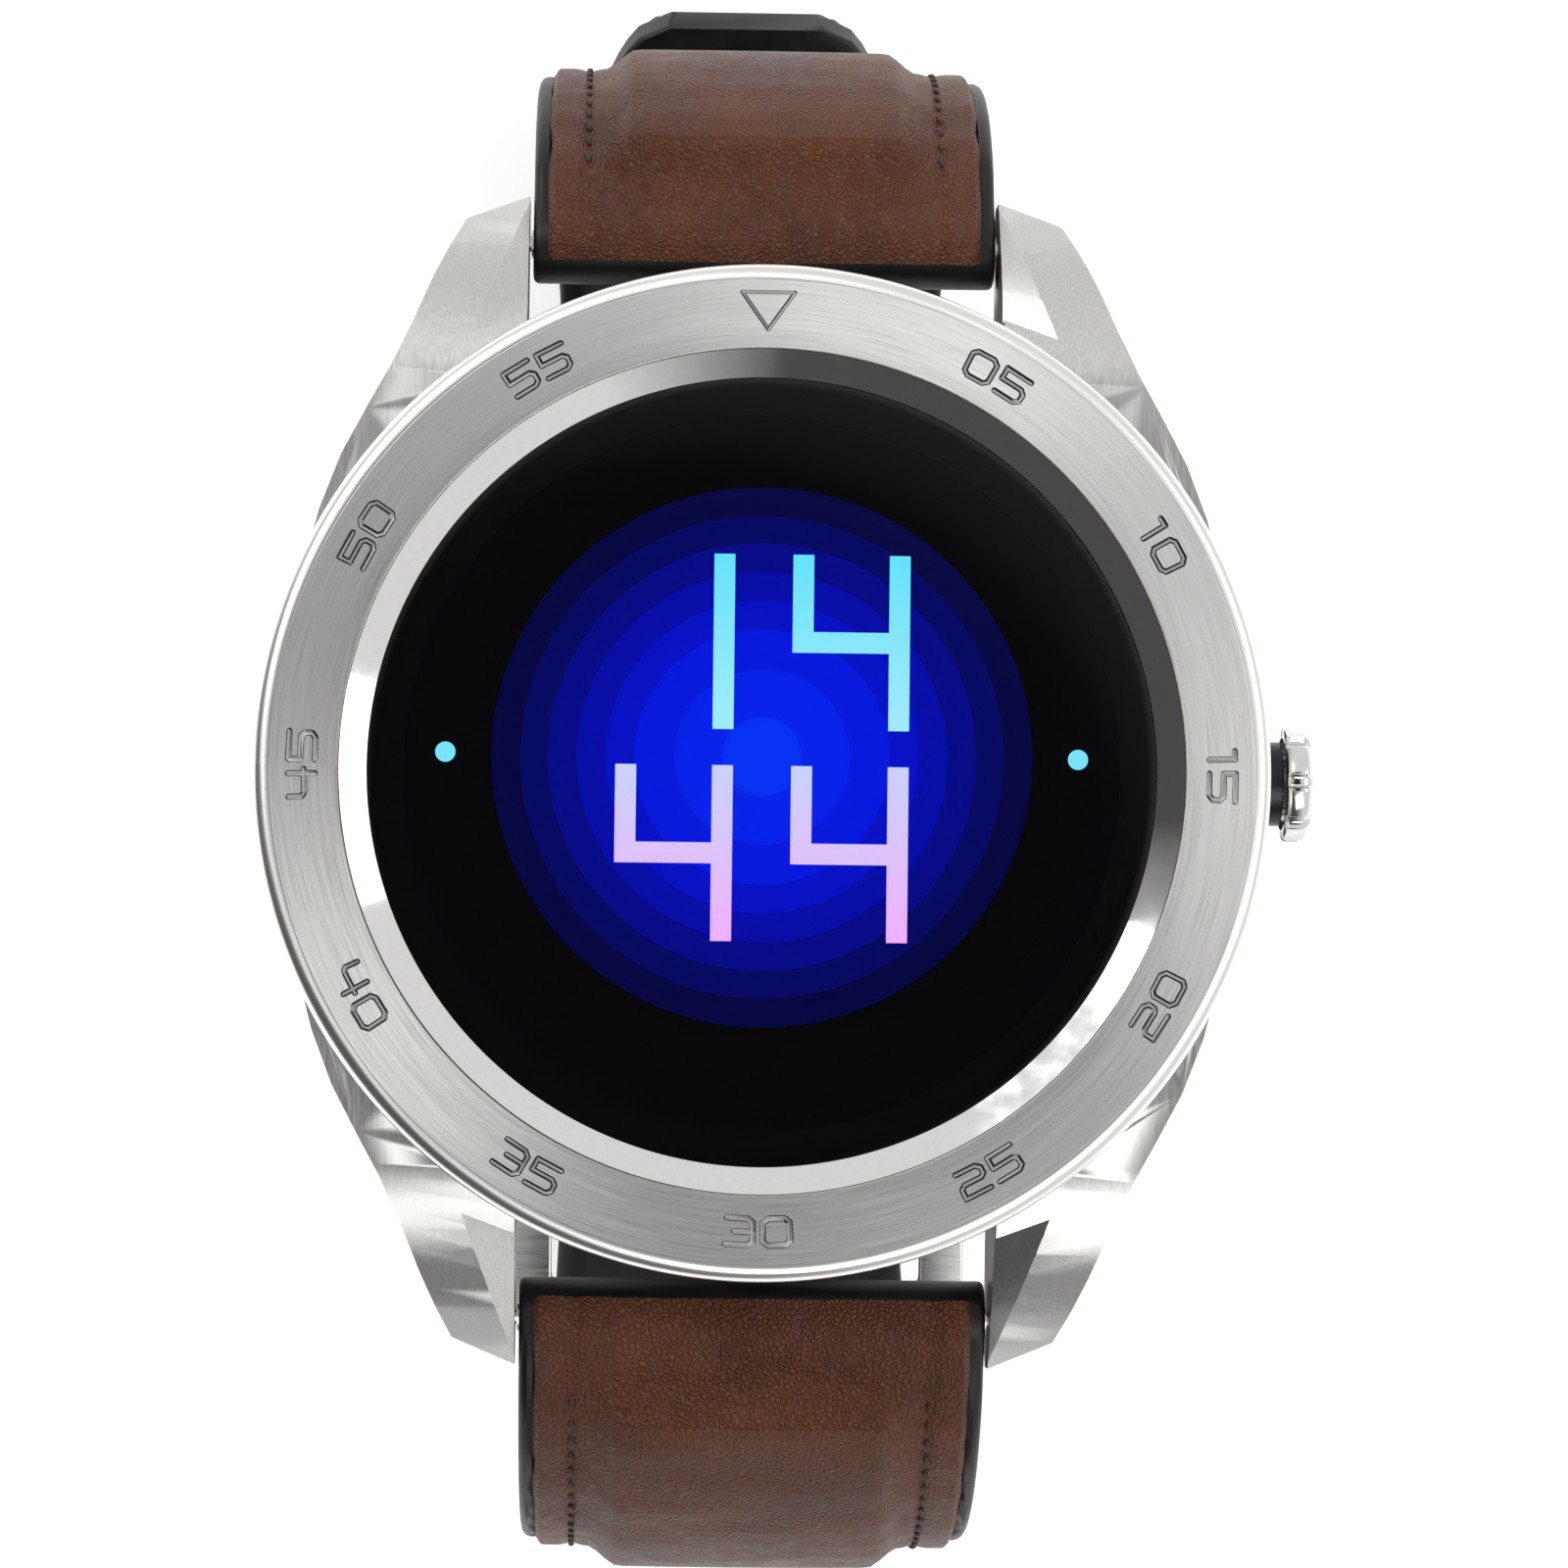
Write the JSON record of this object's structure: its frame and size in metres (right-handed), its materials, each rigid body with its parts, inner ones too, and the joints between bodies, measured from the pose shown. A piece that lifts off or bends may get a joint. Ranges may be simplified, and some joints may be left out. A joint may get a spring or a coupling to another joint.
{
  "type": "smartwatch",
  "caption": "Round smartwatch with a brushed steel case and bezel, lit digital dial, pressable crown and a leather-faced rubber strap with a pin buckle.",
  "frame": {"origin": "centre of the sensor window's flat outer face, on the back of the case", "axes": "+Z out of the display, +Y to 12 o'clock, +X to the crown"},
  "size_m": [0.0488, 0.0822, 0.0627],
  "materials": {
    "case_steel": "fine brushed",
    "polished_steel": "polished",
    "black_steel": "satin black coating",
    "spring_steel": "bright",
    "cover_glass": "clear, anti-glare",
    "sensor_glass": "dark tinted",
    "display": "black with a lit dial",
    "black_plastic": "fine grain",
    "seal_rubber": "matte",
    "board": "solder resist",
    "battery_foil": "foil pouch",
    "flex": "polyimide film",
    "strap_rubber": "matte, fine grain",
    "strap_leather": "grained, dark brown, stitched",
    "foam": "felt padding",
    "led": "clear",
    "diode": "clear dark",
    "gold": "gold plated"
  },
  "bodies": {
    "watch_case": {"case_middle": "case_steel", "bezel_ring": "case_steel", "inner_chamfer_ring": "polished_steel", "cover_glass": "cover_glass", "glass_gasket": "seal_rubber", "display_mask": "black_plastic", "display_panel": "display", "display_carrier": "spring_steel", "display_flex": "flex", "midframe": "black_plastic", "main_pcb": "board", "battery": "battery_foil", "battery_pad": "foam", "vibration_motor": "spring_steel", "speaker": "black_plastic", "microphone": "spring_steel", "case_back": "case_steel", "case_back_gasket": "seal_rubber", "case_back_screw_1": "polished_steel", "case_back_screw_2": "polished_steel", "case_back_screw_3": "polished_steel", "case_back_screw_4": "polished_steel", "sensor_window": "sensor_glass", "sensor_board": "board", "green_led_1": "led", "green_led_2": "led", "photodiode": "diode", "charging_contact_1": "gold", "charging_contact_2": "gold", "crown_tube": "black_steel", "crown_spring": "spring_steel", "crown_switch": "black_plastic", "spring_bar_12_tube": "spring_steel", "spring_bar_12_spring": "spring_steel", "spring_bar_6_tube": "spring_steel", "spring_bar_6_spring": "spring_steel"},
    "crown_slider": {"crown_clip": "spring_steel"},
    "crown": {"crown_head": "polished_steel", "crown_stem": "spring_steel", "crown_o_ring": "seal_rubber"},
    "strap_12": {"strap_12_rubber": "strap_rubber", "strap_12_leather": "strap_leather", "strap_12_padding": "foam", "fixed_keeper": "strap_rubber", "buckle_bar": "spring_steel"},
    "keeper": {"sliding_keeper": "strap_rubber"},
    "buckle": {"buckle_frame": "case_steel"},
    "tongue": {"buckle_tongue": "case_steel"},
    "strap_6": {"strap_6_rubber": "strap_rubber", "strap_6_leather": "strap_leather", "strap_6_padding": "foam"},
    "bar_12_tip_crown_side": {"spring_bar_12_tip_crown_side": "spring_steel"},
    "bar_12_tip_far_side": {"spring_bar_12_tip_far_side": "spring_steel"},
    "bar_6_tip_crown_side": {"spring_bar_6_tip_crown_side": "spring_steel"},
    "bar_6_tip_far_side": {"spring_bar_6_tip_far_side": "spring_steel"}
  },
  "joints": [
    {"name": "crown_press", "type": "slide", "parent": "watch_case", "child": "crown_slider", "axis": [-1, 0, 0], "range_m": [0, 0.0005], "stiffness_N_per_m": 2000, "springref_m": -0.0004, "deforming": ["crown_spring"]},
    {"name": "crown_turn", "type": "hinge", "parent": "crown_slider", "child": "crown", "pos_m": [0.022, 0, 0.006], "axis": [1, 0, 0], "continuous": true},
    {"name": "strap_6_swing", "type": "hinge", "parent": "watch_case", "child": "strap_6", "pos_m": [0, -0.0251, 0.0032], "axis": [-1, 0, 0], "range_deg": [0, 90]},
    {"name": "strap_12_swing", "type": "hinge", "parent": "watch_case", "child": "strap_12", "pos_m": [0, 0.0251, 0.0032], "axis": [1, 0, 0], "range_deg": [0, 90]},
    {"name": "keeper_slide", "type": "slide", "parent": "strap_12", "child": "keeper", "axis": [0, -0.9969, -0.0786], "range_m": [-0.0015, 0.009]},
    {"name": "buckle_swing", "type": "hinge", "parent": "strap_12", "child": "buckle", "pos_m": [0, -0.01508, -0.02835], "axis": [1, 0, 0], "range_deg": [-50, 40]},
    {"name": "tongue_swing", "type": "hinge", "parent": "buckle", "child": "tongue", "pos_m": [0, -0.01508, -0.02835], "axis": [1, 0, 0], "range_deg": [0, 60]},
    {"name": "bar_12_crown_side_press", "type": "slide", "parent": "watch_case", "child": "bar_12_tip_crown_side", "axis": [-1, 0, 0], "range_m": [0, 0.00115], "stiffness_N_per_m": 1200, "springref_m": -0.0004, "deforming": ["spring_bar_12_spring"]},
    {"name": "bar_12_far_side_press", "type": "slide", "parent": "watch_case", "child": "bar_12_tip_far_side", "axis": [1, 0, 0], "range_m": [0, 0.00115], "stiffness_N_per_m": 1200, "springref_m": -0.0004, "deforming": ["spring_bar_12_spring"]},
    {"name": "bar_6_crown_side_press", "type": "slide", "parent": "watch_case", "child": "bar_6_tip_crown_side", "axis": [-1, 0, 0], "range_m": [0, 0.00115], "stiffness_N_per_m": 1200, "springref_m": -0.0004, "deforming": ["spring_bar_6_spring"]},
    {"name": "bar_6_far_side_press", "type": "slide", "parent": "watch_case", "child": "bar_6_tip_far_side", "axis": [1, 0, 0], "range_m": [0, 0.00115], "stiffness_N_per_m": 1200, "springref_m": -0.0004, "deforming": ["spring_bar_6_spring"]}
  ],
  "couplings": [
    {"joint": "strap_12_swing", "follows": "strap_6_swing", "ratio": 1}
  ]
}
